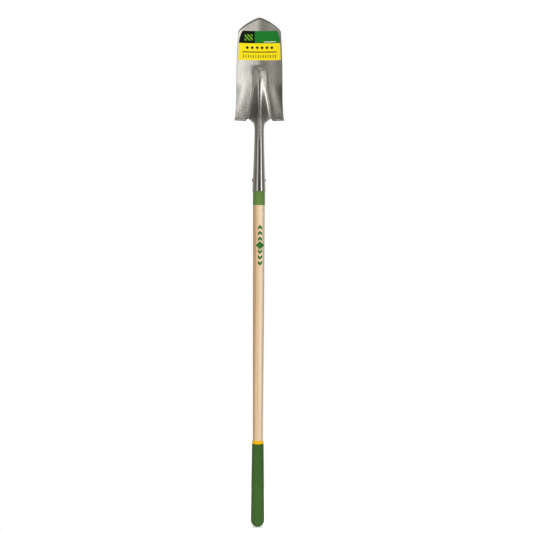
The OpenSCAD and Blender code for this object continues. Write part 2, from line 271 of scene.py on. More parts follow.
def closed_sheet(name, front, back, keep, marks):
    """A closed mesh between two grids of points, over the cells kept.

    Marks are float attributes, each given for the points of the front and of the back.
    """
    wide, tall = front.shape[:2]
    f = np.arange(wide * tall).reshape(wide, tall)
    b = f + wide * tall
    padded = np.pad(keep, 1)

    def quads(cells, corners):
        i, j = np.nonzero(cells)
        return np.stack([grid[i + di, j + dj] for grid, di, dj in corners], axis=1)

    faces = np.concatenate([
        quads(keep, [(f, 0, 0), (f, 1, 0), (f, 1, 1), (f, 0, 1)]),
        quads(keep, [(b, 0, 1), (b, 1, 1), (b, 1, 0), (b, 0, 0)]),
        quads(keep & ~padded[:-2, 1:-1], [(f, 0, 0), (f, 0, 1), (b, 0, 1), (b, 0, 0)]),
        quads(keep & ~padded[2:, 1:-1], [(f, 1, 0), (b, 1, 0), (b, 1, 1), (f, 1, 1)]),
        quads(keep & ~padded[1:-1, :-2], [(b, 0, 0), (b, 1, 0), (f, 1, 0), (f, 0, 0)]),
        quads(keep & ~padded[1:-1, 2:], [(b, 1, 1), (b, 0, 1), (f, 0, 1), (f, 1, 1)])])
    used, faces = np.unique(faces, return_inverse=True)
    points = np.concatenate([front.reshape(-1, 3), back.reshape(-1, 3)])[used]
    mesh = bpy.data.meshes.new(name)
    mesh.from_pydata(points.tolist(), [], faces.reshape(-1, 4).tolist())
    for mark, (on_front, on_back) in marks.items():
        values = np.concatenate([on_front.ravel(), on_back.ravel()])[used]
        mesh.attributes.new(mark, "FLOAT", "POINT").data.foreach_set("value", values.astype(np.float32))
    return mesh


def piece(name, mesh, sharp_angle):
    """An object of the mesh in the scene, smooth but for its corners."""
    mesh.polygons.foreach_set("use_smooth", [True] * len(mesh.polygons))
    mesh.set_sharp_from_angle(angle=math.radians(sharp_angle))
    made = bpy.data.objects.new(name, mesh)
    bpy.context.scene.collection.objects.link(made)
    return made


cell_mid = np.abs(columns[:-1] + 0.5)[:, None]
cell_row = np.arange(row_count - 1)[None, :]
step_cells = (cell_mid > core_cols + 1) & (cell_row >= step_row)
cells = (cell_row >= root_row) | (cell_mid < core_cols) | step_cells
bevel_ground, sheet_corner = 0.6, 50
ground = np.zeros((len(columns), row_count))
ground[:, -bevel_rows:] = bevel_ground
# The backs of the steps' treads and bends are marked for a painted shade: the steel is painted dark there.
under = np.zeros_like(ground)
under[~is_core, :step_row + tread_rows + bend_rows // 2] = 1
blade_mesh = closed_sheet("pressed_blade", middle + normal * front_rise[None, :, None],
                          middle - normal * sheet_t / 2, cells, {"ground": (ground, under)})
blade = piece("pressed_blade", blade_mesh, sheet_corner)
rim = blade.modifiers.new("rounded rims", "BEVEL")
rim.width = 0.0003
rim.segments = 2
rim.limit_method = "ANGLE"
rim.angle_limit = math.radians(sheet_corner)


def add(tree, kind, inputs=None, **settings):
    """Adds a node; an input takes a value, or another node's output to link to."""
    made = tree.nodes.new(kind)
    for name, value in settings.items():
        setattr(made, name, value)
    for key, value in (inputs or {}).items():
        if isinstance(value, bpy.types.NodeSocket):
            tree.links.new(value, made.inputs[key])
        else:
            made.inputs[key].default_value = value
    return made


def math_node(tree, operation, *values):
    return add(tree, "ShaderNodeMath", dict(enumerate(values)), operation=operation).outputs[0]


def times(tree, a, b):
    return math_node(tree, "MULTIPLY", a, b)


def plus(tree, a, b):
    return math_node(tree, "ADD", a, b)


def ranged(tree, value, low, high, to_low=0.0, to_high=1.0, smooth=False):
    """Takes low to to_low and high to to_high, and holds those beyond them."""
    kind = "SMOOTHSTEP" if smooth else "LINEAR"
    return add(tree, "ShaderNodeMapRange", {0: value, 1: low, 2: high, 3: to_low, 4: to_high},
               interpolation_type=kind).outputs[0]


def blended(tree, share_of_b, a, b, blend="MIX"):
    made = add(tree, "ShaderNodeMix", data_type="RGBA", blend_type=blend)
    for socket, value in ((made.inputs[0], share_of_b), (made.inputs[6], a), (made.inputs[7], b)):
        if isinstance(value, bpy.types.NodeSocket):
            tree.links.new(value, socket)
        else:
            socket.default_value = value
    return made.outputs[2]


def place(tree):
    """The three object coordinates, each by itself."""
    coords = add(tree, "ShaderNodeTexCoord").outputs["Object"]
    return add(tree, "ShaderNodeSeparateXYZ", {0: coords}).outputs


def scaled(tree, scale):
    """Object coordinates, stretched by a scale for each axis."""
    coords = add(tree, "ShaderNodeTexCoord").outputs["Object"]
    return add(tree, "ShaderNodeMapping", {"Vector": coords, "Scale": scale}).outputs[0]


def cloudy(tree, scale, detail):
    return add(tree, "ShaderNodeTexNoise",
               {"Vector": scaled(tree, scale), "Scale": 1.0, "Detail": detail}).outputs[0]


def bumped(tree, height, strength, distance, **below):
    inputs = {"Strength": strength, "Distance": distance, "Height": height, **below}
    return add(tree, "ShaderNodeBump", inputs).outputs[0]


def finish(name, **constants):
    """A material with one Principled BSDF; constants are set on the shader's own sockets."""
    made = bpy.data.materials.new(name)
    made.use_nodes = True
    shader = made.node_tree.nodes["Principled BSDF"]
    for key, value in constants.items():
        shader.inputs[key.replace("_", " ")].default_value = value
    return made, made.node_tree, shader


def wire(tree, shader, tone, roughness, normal):
    for key, value in (("Base Color", tone), ("Roughness", roughness), ("Normal", normal)):
        tree.links.new(value, shader.inputs[key])


# Long fine lines, shared by brushed steel, wood fibre and drawn plastic
lines_group = bpy.data.node_groups.new("lengthwise_lines", "ShaderNodeTree")
for socket_name, default in (("Across", 800.0), ("Along", 10.0), ("Detail", 5.0)):
    made = lines_group.interface.new_socket(socket_name, in_out="INPUT", socket_type="NodeSocketFloat")
    made.default_value = default
lines_group.interface.new_socket("Lines", in_out="OUTPUT", socket_type="NodeSocketFloat")
lines_in = add(lines_group, "NodeGroupInput")
lines_coords = add(lines_group, "ShaderNodeTexCoord").outputs["Object"]
lines_scale = add(lines_group, "ShaderNodeCombineXYZ", {
    0: lines_in.outputs["Across"], 1: lines_in.outputs["Across"], 2: lines_in.outputs["Along"]})
lines_at = add(lines_group, "ShaderNodeVectorMath", {0: lines_coords, 1: lines_scale.outputs[0]},
               operation="MULTIPLY")
lines_noise = add(lines_group, "ShaderNodeTexNoise", {
    "Vector": lines_at.outputs[0], "Scale": 1.0, "Detail": lines_in.outputs["Detail"], "Roughness": 0.6})
add(lines_group, "NodeGroupOutput", {"Lines": lines_noise.outputs[0]})


def lengthwise_lines(tree, across, along, detail):
    made = add(tree, "ShaderNodeGroup", node_tree=lines_group)
    for key, value in (("Across", across), ("Along", along), ("Detail", detail)):
        made.inputs[key].default_value = value
    return made.outputs["Lines"]


grey_steel, pale_steel = (0.555, 0.538, 0.495, 1), (0.685, 0.67, 0.62, 1)
# The darker tone above the steps is a painted shade.
dull_steel, shaded_step_steel = (0.51, 0.495, 0.45, 1), (0.3, 0.285, 0.255, 1)
# Dark steel for the ground bevel of the point, and for the painted shade under the steps.
ground_and_shade_steel, ground_and_shade_depth = (0.05, 0.048, 0.044, 1), 0.95
steel, tree, shader = finish("brushed_blade_steel", Metallic=1.0)
xyz = place(tree)
height = xyz[2]
brushed = lengthwise_lines(tree, across=420.0, along=7.0, detail=6.0)
streaks = lengthwise_lines(tree, across=160.0, along=4.0, detail=3.0)
clouds = cloudy(tree, (30, 30, 18), detail=4.0)
tone = blended(tree, ranged(tree, streaks, 0.3, 0.7), grey_steel, pale_steel)
tone = blended(tree, ranged(tree, clouds, 0.35, 0.75, 0.0, 0.35), tone, dull_steel)

# Above the steps the press has left the sheet wavy, up to an uneven level; there the steel is also painted
# darker and mottled, a painted shade.
worked_shade_low, worked_shade_start = root_level - 0.008, root_level + 0.004
worked_shade_full, worked_shade_high, worked_shade_drift = root_level + 0.018, root_level + 0.066, 0.016
waves = cloudy(tree, (190, 190, 150), detail=2.0)
uneven = plus(tree, height, ranged(tree, clouds, 0.3, 0.7, -worked_shade_drift, worked_shade_drift))
worked_and_shaded = times(tree, ranged(tree, uneven, worked_shade_high, worked_shade_full, smooth=True),
               ranged(tree, height, worked_shade_low, worked_shade_start, smooth=True))
tone = blended(tree, times(tree, worked_and_shaded, ranged(tree, waves, 0.35, 0.65, 0.25, 0.75)), tone, shaded_step_steel)
# Darker along the ground bevel of the point; under the steps the dark steel is a painted shade.
ground_and_shade_share = add(tree, "ShaderNodeAttribute", attribute_name="ground").outputs["Fac"]
tone = blended(tree, times(tree, ground_and_shade_share, ground_and_shade_depth), tone, ground_and_shade_steel)

# Roughness: satin on the blade and polished on the socket; duller at the neck, where the frog's end is
# drawn out of the sheet, and where the edge is ground
polish_full, polish_start, satin_fade = neck_level - 0.032, neck_level - 0.004, 0.03
drawn_low, drawn_full = frog_end_level - 0.036, frog_end_level - 0.014
drawn_fade, drawn_top = frog_end_level - 0.006, frog_end_level + 0.004
drawn_inner, drawn_outer = 0.018, 0.03
neck_dull, drawn_dull, ground_dull = 0.2, 0.2, 0.6
on_socket = ranged(tree, height, polish_start, polish_full, smooth=True)
on_neck = times(tree, ranged(tree, height, polish_full, polish_start, smooth=True),
                ranged(tree, height, root_level + satin_fade, root_level, smooth=True))
drawn = times(tree, ranged(tree, height, drawn_low, drawn_full, smooth=True),
              ranged(tree, height, drawn_top, drawn_fade, smooth=True))
off_middle = math_node(tree, "ABSOLUTE", xyz[0])
drawn = times(tree, drawn, ranged(tree, off_middle, drawn_outer, drawn_inner, smooth=True))
satin = ranged(tree, brushed, 0.25, 0.75, 0.13, 0.2)
polished = ranged(tree, brushed, 0.25, 0.75, 0.1, 0.16)
roughness = plus(tree, times(tree, satin, math_node(tree, "SUBTRACT", 1.0, on_socket)),
                 times(tree, polished, on_socket))
for spread, dulled in ((on_neck, neck_dull), (drawn, drawn_dull), (ground_and_shade_share, ground_dull)):
    roughness = plus(tree, roughness, times(tree, spread, dulled))
fine = bumped(tree, brushed, strength=0.03, distance=0.00006)
wavy = bumped(tree, times(tree, waves, worked_and_shaded), strength=0.6, distance=0.0003, Normal=fine)
wire(tree, shader, tone, roughness, wavy)
blade.data.materials.append(steel)
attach(blade, "root")
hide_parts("blade")


# Handle: one length of ash, turned on a lathe and clear lacquered, with its grain along it.
# It swells from the grip to the collar, and its tapered end sits in the socket on the cross rivet.
handle_low, handle_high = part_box("handle")
ring_low, ring_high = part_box("grip_ring")
collar_low, collar_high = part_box("collar")
mm = 0.001
clip_half = mounts["shaft_clip"]["dims"]["length_mm"] * mm / 2
clip_r = mounts["shaft_clip"]["dims"]["r_mm"] * mm
butt_r, low_r, top_r, butt_chamfer = 0.0152, 0.0145, 0.0173, 0.004
collar_t, tenon_fit, tenon_shoulder = 0.00065, 0.00025, 0.004
collar_seat_r = top_r - collar_t - seat_gap


def stretch(*corners, step=0.012):
    """Points (radius, height) along straight stretches between corners, close enough for long grain."""
    points = [corners[0]]
    for a, b in zip(corners, corners[1:]):
        count = max(1, round(abs(b[1] - a[1]) / step))
        points += [(mix(a[0], b[0], k / count), mix(a[1], b[1], k / count)) for k in range(1, count + 1)]
    return points


def tenon_r(z):
    cone_d = float(mix(neck_d, socket_d - 2 * swage, share(neck_level, mouth_level, z)))
    return cone_d / 2 - sheet_t - tenon_fit


# A turned piece: a profile of radius and height, swept round the axis, its seam and poles closed
turning = bpy.data.node_groups.new("turned_piece", "GeometryNodeTree")
turning.interface.new_socket("Profile", in_out="INPUT", socket_type="NodeSocketGeometry")
sides_socket = turning.interface.new_socket("Sides", in_out="INPUT", socket_type="NodeSocketInt")
finish_socket = turning.interface.new_socket("Finish", in_out="INPUT", socket_type="NodeSocketMaterial")
turning.interface.new_socket("Piece", in_out="OUTPUT", socket_type="NodeSocketGeometry")
turning_in = add(turning, "NodeGroupInput")
profile, sides = turning_in.outputs["Profile"], turning_in.outputs["Sides"]
rings = add(turning, "GeometryNodeAttributeDomainSize", {0: profile}).outputs["Point Count"]
skin = add(turning, "GeometryNodeMeshGrid", {"Vertices X": plus(turning, sides, 1.0), "Vertices Y": rings})
index = add(turning, "GeometryNodeInputIndex").outputs[0]
ring = math_node(turning, "MODULO", index, rings)
spoke = math_node(turning, "FLOOR", math_node(turning, "DIVIDE", index, rings))
angle = times(turning, math_node(turning, "DIVIDE", spoke, sides), 2 * math.pi)
sampled = add(turning, "GeometryNodeSampleIndex", data_type="FLOAT_VECTOR", domain="POINT")
turning.links.new(profile, sampled.inputs["Geometry"])
turning.links.new(add(turning, "GeometryNodeInputPosition").outputs[0], sampled.inputs["Value"])
turning.links.new(ring, sampled.inputs["Index"])
at = add(turning, "ShaderNodeSeparateXYZ", {0: sampled.outputs["Value"]})
swept = add(turning, "ShaderNodeCombineXYZ", {
    0: times(turning, at.outputs[0], math_node(turning, "COSINE", angle)),
    1: times(turning, at.outputs[0], math_node(turning, "SINE", angle)),
    2: at.outputs[2]})
shaped = add(turning, "GeometryNodeSetPosition", {
    "Geometry": skin.outputs["Mesh"], "Position": swept.outputs[0]})
closed = add(turning, "GeometryNodeMergeByDistance", {"Geometry": shaped.outputs[0], "Distance": 1e-6})
real = add(turning, "GeometryNodeRealizeInstances", {"Geometry": closed.outputs[0]})
finished = add(turning, "GeometryNodeSetMaterial", {
    "Geometry": real.outputs[0], "Material": turning_in.outputs["Finish"]})
add(turning, "NodeGroupOutput", {"Piece": finished.outputs[0]})


def turned(name, points, material, sides_count=96, sharp_angle=40, lay=None):
    """A turned piece from its profile, as a plain mesh; lay turns it from the Z axis to its own."""
    outline = bpy.data.meshes.new(name + "_profile")
    outline.from_pydata([(r, 0, z) for r, z in points], [(k, k + 1) for k in range(len(points) - 1)], [])
    lathe = bpy.data.objects.new(name + "_profile", outline)
    bpy.context.scene.collection.objects.link(lathe)
    modifier = lathe.modifiers.new("turning", "NODES")
    modifier.node_group = turning
    modifier[sides_socket.identifier] = sides_count
    modifier[finish_socket.identifier] = material
    graph = bpy.context.evaluated_depsgraph_get()
    mesh = bpy.data.meshes.new_from_object(lathe.evaluated_get(graph))
    mesh.name = name
    bpy.data.objects.remove(lathe)
    bpy.data.meshes.remove(outline)
    if lay:
        mesh.transform(lay)
    shape = bmesh.new()
    shape.from_mesh(mesh)
    bmesh.ops.recalc_face_normals(shape, faces=shape.faces)
    shape.to_mesh(mesh)
    shape.free()
    return piece(name, mesh, sharp_angle)


# Grain: year rings round a pith beside the stick, with broad bands, streaks, fibre and pores along it. The
# pith and the band tones also carry painted light: the front is paler and less saturated right of its
# middle, a painted highlight of the lacquer, and darker brown at the left, a painted shade.
pith_and_light_at, year_w, ring_wander = (0.062, 0.03, 0), 0.0031, 0.004
heart_and_highlight_high, heart_and_highlight_full, band_and_light_low, band_and_light_high = 0.0735, 0.0695, 0.055, 0.09
early_brown, streak_brown = (0.46, 0.27, 0.115, 1), (0.56, 0.34, 0.16, 1)
pore_brown = (0.3, 0.18, 0.09, 1)
heart_pale_highlight, fibre_pale = (0.92, 0.8, 0.66, 1), (0.84, 0.66, 0.44, 1)
early_depth, pore_depth = 0.35, 0.45
wood, tree, shader = finish("lacquered_ash", Coat_Weight=0.3, Coat_Roughness=0.2, Specular_IOR_Level=0.1)
xyz = place(tree)
drift = cloudy(tree, (20, 20, 2.2), detail=2.0)
pith = add(tree, "ShaderNodeVectorMath", {0: scaled(tree, (1, 1, 0)), 1: pith_and_light_at}, operation="DISTANCE")
growth = plus(tree, pith.outputs["Value"], ranged(tree, drift, 0.0, 1.0, -ring_wander, ring_wander))
year = math_node(tree, "FRACT", math_node(tree, "DIVIDE", growth, year_w))
early = ranged(tree, year, 0.0, 0.42, 1.0, 0.0, smooth=True)
fibre = lengthwise_lines(tree, across=700.0, along=7.0, detail=6.0)
broad = lengthwise_lines(tree, across=150.0, along=1.6, detail=2.0)
pores = ranged(tree, lengthwise_lines(tree, across=1500.0, along=45.0, detail=2.0), 0.6, 0.72)
bands_and_light = add(tree, "ShaderNodeValToRGB", {0: ranged(tree, growth, band_and_light_low, band_and_light_high)})
# Band tones are grain and painted light together: pale in the middle of the ramp for the painted highlight,
# brown at its ends for the painted shade.
band_and_light_tones = [(0.1, (0.56, 0.39, 0.23, 1)), (0.25, (0.68, 0.49, 0.32, 1)), (0.36, (0.78, 0.6, 0.42, 1)),
              (0.46, (0.9, 0.76, 0.6, 1)), (0.56, (0.84, 0.66, 0.46, 1)), (0.62, (0.8, 0.59, 0.385, 1)),
              (0.77, (0.8, 0.57, 0.34, 1)), (0.81, (0.6, 0.36, 0.185, 1)), (0.88, (0.58, 0.34, 0.17, 1))]
for _ in band_and_light_tones[2:]:
    bands_and_light.color_ramp.elements.new(0.5)
for stop, (stop_at, colour) in zip(bands_and_light.color_ramp.elements, band_and_light_tones):
    stop.position = stop_at
    stop.color = colour
heart_and_highlight = ranged(tree, growth, heart_and_highlight_high, heart_and_highlight_full, smooth=True)
plank = blended(tree, times(tree, early, early_depth), bands_and_light.outputs[0], early_brown)
# Pale streaks on the side near the pith, right of the front, add to the painted highlight.
plank = blended(tree, times(tree, ranged(tree, broad, 0.5, 0.66, 0.0, 0.75), heart_and_highlight), plank, heart_pale_highlight)
plank = blended(tree, ranged(tree, broad, 0.48, 0.32, 0.0, 0.5), plank, streak_brown)
plank = blended(tree, ranged(tree, fibre, 0.3, 0.75, 0.0, 0.3), plank, fibre_pale)
plank = blended(tree, times(tree, pores, times(tree, early, pore_depth)), plank, pore_brown)

# The mark on the wood: a lozenge between two rows of three chevrons, in worn green ink
mark_x, mark_level, mark_half, lozenge_reach = 0.0035, 0.088, 0.006, 0.0125
chevron_pitch, chevron_share = 0.0165, 0.55
mark_green = (0.018, 0.15, 0.024, 1)
side_off = math_node(tree, "ABSOLUTE", math_node(tree, "SUBTRACT", xyz[0], mark_x))
level_off = math_node(tree, "ABSOLUTE", math_node(tree, "SUBTRACT", xyz[2], mark_level))
arm = plus(tree, level_off, side_off)
lozenge = math_node(tree, "LESS_THAN", arm, lozenge_reach)
rows = times(tree, math_node(tree, "COMPARE", arm, 2.5 * chevron_pitch, 1.5 * chevron_pitch),
             math_node(tree, "LESS_THAN", side_off, mark_half))
along_row = math_node(tree, "FRACT", math_node(tree, "DIVIDE", arm, chevron_pitch))
chevrons = math_node(tree, "LESS_THAN", along_row, chevron_share)
mark = math_node(tree, "MAXIMUM", times(tree, rows, chevrons), lozenge)
mark = times(tree, mark, math_node(tree, "LESS_THAN", xyz[1], 0.0))
mark = times(tree, mark, ranged(tree, fibre, 0.25, 0.45, 0.86, 1.0))
plank = blended(tree, mark, plank, mark_green)
wire(tree, shader, plank, ranged(tree, fibre, 0.3, 0.7, 0.36, 0.48),
     bumped(tree, fibre, strength=0.15, distance=0.0001))
handle_profile = stretch(
    (0, handle_low.z), (butt_r - butt_chamfer, handle_low.z), (butt_r, handle_low.z + butt_chamfer),
    (low_r, ring_high.z), (clip_r, -clip_half), (clip_r, clip_half), (top_r, collar_low.z - seat_gap),
    (collar_seat_r, collar_low.z - seat_gap), (collar_seat_r, mouth_level - tenon_shoulder),
    (tenon_r(mouth_level), mouth_level), (tenon_r(handle_high.z), handle_high.z), (0, handle_high.z))
handle = turned("turned_handle", handle_profile, wood)
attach(handle, "root")
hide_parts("handle")


# Collar: a thin sleeve of green plastic, drawn as a tube and cut to length.
# It is shrunk into a rebate of the wood, flush with it, and butts against the mouth of the socket.
# Its lower edge is rubbed a little.
collar_edge, rubbed_len, rubbed_depth = 0.0003, 0.0025, 0.5
deep_green, light_green = (0.112, 0.214, 0.052, 1), (0.138, 0.248, 0.068, 1)
rubbed_green = (0.24, 0.36, 0.15, 1)
sleeve_green, tree, shader = finish("satin_green_sleeve", Specular_IOR_Level=0.08)
drawn_lines = lengthwise_lines(tree, across=420.0, along=6.0, detail=3.0)
scratches = lengthwise_lines(tree, across=600.0, along=200.0, detail=3.0)
rubbed = times(tree, ranged(tree, place(tree)[2], collar_low.z + rubbed_len, collar_low.z, smooth=True),
               ranged(tree, scratches, 0.42, 0.62))
green = blended(tree, ranged(tree, drawn_lines, 0.3, 0.7), deep_green, light_green)
green = blended(tree, times(tree, rubbed, rubbed_depth), green, rubbed_green)
wire(tree, shader, green, ranged(tree, drawn_lines, 0.3, 0.7, 0.38, 0.5),
     bumped(tree, drawn_lines, strength=0.2, distance=0.0001))
collar_profile = [
    (top_r - collar_t, collar_low.z), (top_r - collar_edge, collar_low.z),
    (top_r, collar_low.z + collar_edge), (top_r, collar_high.z),
    (top_r - collar_t, collar_high.z), (top_r - collar_t, collar_low.z)]
collar = turned("green_collar", collar_profile, sleeve_green)
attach(collar, "root")
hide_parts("collar")


# Rivet: a plain steel pin driven through the socket and the wood, to keep the blade on the handle.
# It has a domed head at the left, and its right end is peened over; both are dark and hammered.
rivet_low, rivet_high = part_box("rivet")
rivet_level = (rivet_low.z + rivet_high.z) / 2
rivet_r, head_r, head_h, tail_r, tail_h = 0.003, 0.0045, 0.0021, 0.0038, 0.0013
dome_steps = 10


def dome(r, h):
    """Points (radius, height) of a dome from its rim to its top."""
    ball = (r * r + h * h) / (2 * h)
    reach = math.asin(r / ball)
    turns = [reach * (1 - k / dome_steps) for k in range(dome_steps + 1)]
    return [(ball * math.sin(a), ball * math.cos(a) + h - ball) for a in turns]


head_seat, tail_seat = -rivet_low.x - head_h, rivet_high.x - tail_h
rivet_profile = ([(r, -tail_seat - h) for r, h in reversed(dome(tail_r, tail_h))]
                 + [(rivet_r, -tail_seat), (rivet_r, head_seat)]
                 + [(r, head_seat + h) for r, h in dome(head_r, head_h)])
dark_pin, worn_pin, dents_scale = (0.03, 0.028, 0.026, 1), (0.1, 0.095, 0.088, 1), (700, 700, 700)
rivet_steel, tree, shader = finish("peened_rivet_steel", Metallic=0.25, Specular_IOR_Level=0.1)
dents = add(tree, "ShaderNodeTexVoronoi", {"Vector": scaled(tree, dents_scale), "Scale": 1.0}).outputs[0]
wire(tree, shader, blended(tree, ranged(tree, dents, 0.0, 0.8), dark_pin, worn_pin),
     ranged(tree, dents, 0.0, 0.8, 0.5, 0.34), bumped(tree, dents, strength=0.4, distance=0.0002))
laid = Matrix.Translation((0, 0, rivet_level)) @ Matrix.Rotation(math.radians(-90), 4, "Y")
rivet = turned("cross_rivet", rivet_profile, rivet_steel, sides_count=48, lay=laid)
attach(rivet, "root")
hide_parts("rivet")


# Grip: a sleeve of soft green rubber, moulded with a round closed end and a fine stipple.
# It is pulled over the last of the wood and holds by its own stretch; its end is scuffed from the ground.
grip_low, grip_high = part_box("grip")
grip_r, grip_top_r, grip_edge = 0.0195, 0.01665, 0.0008
grip_end_h, grip_end_t, end_steps = 0.020, 0.006, 24
grip_in_low = grip_low.z + grip_end_t - seat_gap


def bore_r(z):
    return float(mix(butt_r, low_r, share(grip_low.z, ring_high.z, z))) + seat_gap


# Fine leathery stipple, shared by the soft rubber pieces
grip_grain, ring_grain = 900.0, 1300.0
stipple_group = bpy.data.node_groups.new("moulded_stipple", "ShaderNodeTree")
grain_socket = stipple_group.interface.new_socket("Scale", in_out="INPUT", socket_type="NodeSocketFloat")
grain_socket.default_value = grip_grain
stipple_group.interface.new_socket("Stipple", in_out="OUTPUT", socket_type="NodeSocketFloat")
stipple_in = add(stipple_group, "NodeGroupInput")
stipple_at = add(stipple_group, "ShaderNodeTexCoord").outputs["Object"]
pebbles = add(stipple_group, "ShaderNodeTexVoronoi",
              {"Vector": stipple_at, "Scale": stipple_in.outputs["Scale"]}, feature="SMOOTH_F1")
add(stipple_group, "NodeGroupOutput", {"Stipple": pebbles.outputs["Distance"]})

soft_green, bloom_green = (0.041, 0.109, 0.02, 1), (0.053, 0.129, 0.028, 1)
pit_green, scuff_grey, scuff_depth = (0.032, 0.09, 0.015, 1), (0.12, 0.16, 0.09, 1), 0.4
rubber, tree, shader = finish("soft_green_rubber", Specular_IOR_Level=0.12)
stipple = add(tree, "ShaderNodeGroup", {"Scale": grip_grain}, node_tree=stipple_group).outputs["Stipple"]
bloom = cloudy(tree, (60, 60, 14), detail=5.0)
scuffed = times(tree, ranged(tree, place(tree)[2], grip_low.z + grip_end_h, grip_low.z, smooth=True),
                ranged(tree, bloom, 0.4, 0.6))
green = blended(tree, ranged(tree, bloom, 0.3, 0.7), soft_green, bloom_green)
green = blended(tree, ranged(tree, stipple, 0.3, 0.8, 0.0, 0.25), green, pit_green)
green = blended(tree, times(tree, scuffed, scuff_depth), green, scuff_grey)
wire(tree, shader, green, ranged(tree, bloom, 0.3, 0.7, 0.52, 0.64),
     bumped(tree, stipple, strength=0.25, distance=0.0002))
end_turns = [math.pi / 2 * (1 - k / end_steps) for k in range(end_steps + 1)]
grip_profile = (
    [(grip_r * math.cos(a), grip_low.z + grip_end_h * (1 - math.sin(a))) for a in end_turns]
    + stretch((grip_r, grip_low.z + grip_end_h), (grip_top_r, grip_high.z - grip_edge))[1:]
    + [(grip_top_r - grip_edge, grip_high.z), (bore_r(grip_high.z), grip_high.z),
       (bore_r(grip_in_low + butt_chamfer), grip_in_low + butt_chamfer),
       (bore_r(grip_in_low) - butt_chamfer, grip_in_low), (0, grip_in_low)])
grip = turned("soft_grip", grip_profile, rubber)
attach(grip, "root")
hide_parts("grip")


# Ring: a ring of soft yellow rubber that closes the upper end of the grip.
# It is moulded by itself with a finer stipple, drawn in towards the wood, and pushed down onto the grip.
ring_r, ring_top_r, ring_edge = 0.01635, 0.01545, 0.0005
bright_yellow, pit_yellow = (0.92, 0.48, 0.003, 1), (0.84, 0.41, 0.002, 1)
ring_yellow, tree, shader = finish("soft_yellow_ring", Specular_IOR_Level=0.04)
stipple = add(tree, "ShaderNodeGroup", {"Scale": ring_grain}, node_tree=stipple_group).outputs["Stipple"]
wire(tree, shader, blended(tree, ranged(tree, stipple, 0.2, 0.8), bright_yellow, pit_yellow),
     ranged(tree, stipple, 0.2, 0.8, 0.4, 0.52), bumped(tree, stipple, strength=0.2, distance=0.0001))
ring_profile = [
    (bore_r(ring_low.z), ring_low.z), (ring_r, ring_low.z), (ring_top_r, ring_high.z - ring_edge),
    (ring_top_r - ring_edge, ring_high.z), (bore_r(ring_high.z), ring_high.z),
    (bore_r(ring_low.z), ring_low.z)]
grip_ring = turned("yellow_ring", ring_profile, ring_yellow)
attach(grip_ring, "root")
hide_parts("grip_ring")


# Label: a printed plastic film with glue on its back, cut with its upper panel drawn in at the sides.
# It is stuck in the hollow of the blade under the point, and carries plain bands, bars and a tick scale.
label_len, label_panel_len, label_rise, label_t = 0.0805, 0.034, 0.003, 0.00025
label_w, label_mid_w, label_top_w = 0.122, 0.1176, 0.097
label_cols, label_rows = 72, 48
label_top = shoulder_level + label_rise
label_low = label_top - label_len
panel_level = label_top - label_panel_len
film_z = np.linspace(label_low, label_top, label_rows + 1)[None, :]
label_half = mix(mix(label_w, label_mid_w, share(label_low, panel_level, film_z)), label_top_w,
                 share(panel_level, label_top, film_z) ** 2) / 2
label_x = np.linspace(-1, 1, label_cols + 1)[:, None] * label_half
label_z = film_z - dish(label_x, film_z) * math.sin(lean) * math.cos(lean)
film_up = np.broadcast_to(film_z - film_z[0, 0], label_x.shape)
label_mid = np.stack([label_x, wing_y(label_x, label_z), label_z], -1)
label_normal = np.stack([-label_x / np.sqrt(dish_r ** 2 - label_x ** 2), np.full_like(label_x, -1),
                         np.full_like(label_x, -math.tan(lean))], -1)
label_normal /= np.linalg.norm(label_normal, axis=-1, keepdims=True)
film_at = sheet_t / 2 + seat_gap
film_front, film_back = label_mid + label_normal * (film_at + label_t), label_mid + label_normal * film_at
film_mesh = closed_sheet("printed_label", film_front, film_back, np.ones((label_cols, label_rows), bool),
                         {"film_up": (film_up, film_up)})
label = piece("printed_label", film_mesh, sheet_corner)
film, tree, shader = finish("printed_film", Specular_IOR_Level=0.06)
film_x = place(tree)[0]
film_height = add(tree, "ShaderNodeAttribute", attribute_name="film_up").outputs["Fac"]


def within(tree, value, centre, half):
    return math_node(tree, "COMPARE", value, centre, half)


def inside(tree, centre_x, half_w, centre_up, half_h):
    """A rectangle of the print."""
    return times(tree, within(tree, film_x, centre_x, half_w), within(tree, film_height, centre_up, half_h))


def every(tree, value, pitch):
    return math_node(tree, "FRACT", math_node(tree, "DIVIDE", value, pitch))


# Print: lozenges, a rule and a tick scale in black on yellow, slanted bars on a black block, and a pale
# rule on green
lozenge_pitch, lozenge_up, lozenge_size, lozenges_half = 0.014, 0.0345, 0.005, 0.042
scale_half, rule_up, rule_half = 0.049, 0.0225, 0.0014
tick_pitch, tick_share, tick_up, tick_half = 0.007, 0.16, 0.0105, 0.0045
block_edge, bar_pitch, bar_share = -0.014, 0.0105, 0.27
bars_x, bars_half_w, bars_up, bars_half_h = -0.031, 0.0115, 0.0625, 0.0085
pale_x, pale_half_w, pale_up, pale_half_h = 0.029, 0.017, 0.0505, 0.0011
panel_green, bar_green, rule_pale = (0.014, 0.185, 0.026, 1), (0.16, 0.42, 0.03, 1), (0.75, 0.8, 0.75, 1)
film_yellow, print_black = (0.97, 0.77, 0.011, 1), (0.02, 0.025, 0.01, 1)
block_black = (0.003, 0.008, 0.004, 1)
mottle_scale, mottle_grey = (900, 900, 900), (0.8, 0.8, 0.8, 1)
lozenge_side = math_node(tree, "SUBTRACT", every(tree, film_x, lozenge_pitch), 0.5)
lozenge_side = times(tree, math_node(tree, "ABSOLUTE", lozenge_side), lozenge_pitch)
lozenge_off = math_node(tree, "ABSOLUTE", math_node(tree, "SUBTRACT", film_height, lozenge_up))
lozenges = math_node(tree, "LESS_THAN", plus(tree, lozenge_side, lozenge_off), lozenge_size)
lozenges = times(tree, lozenges, within(tree, film_x, 0.0, lozenges_half))
rule = inside(tree, 0.0, scale_half, rule_up, rule_half)
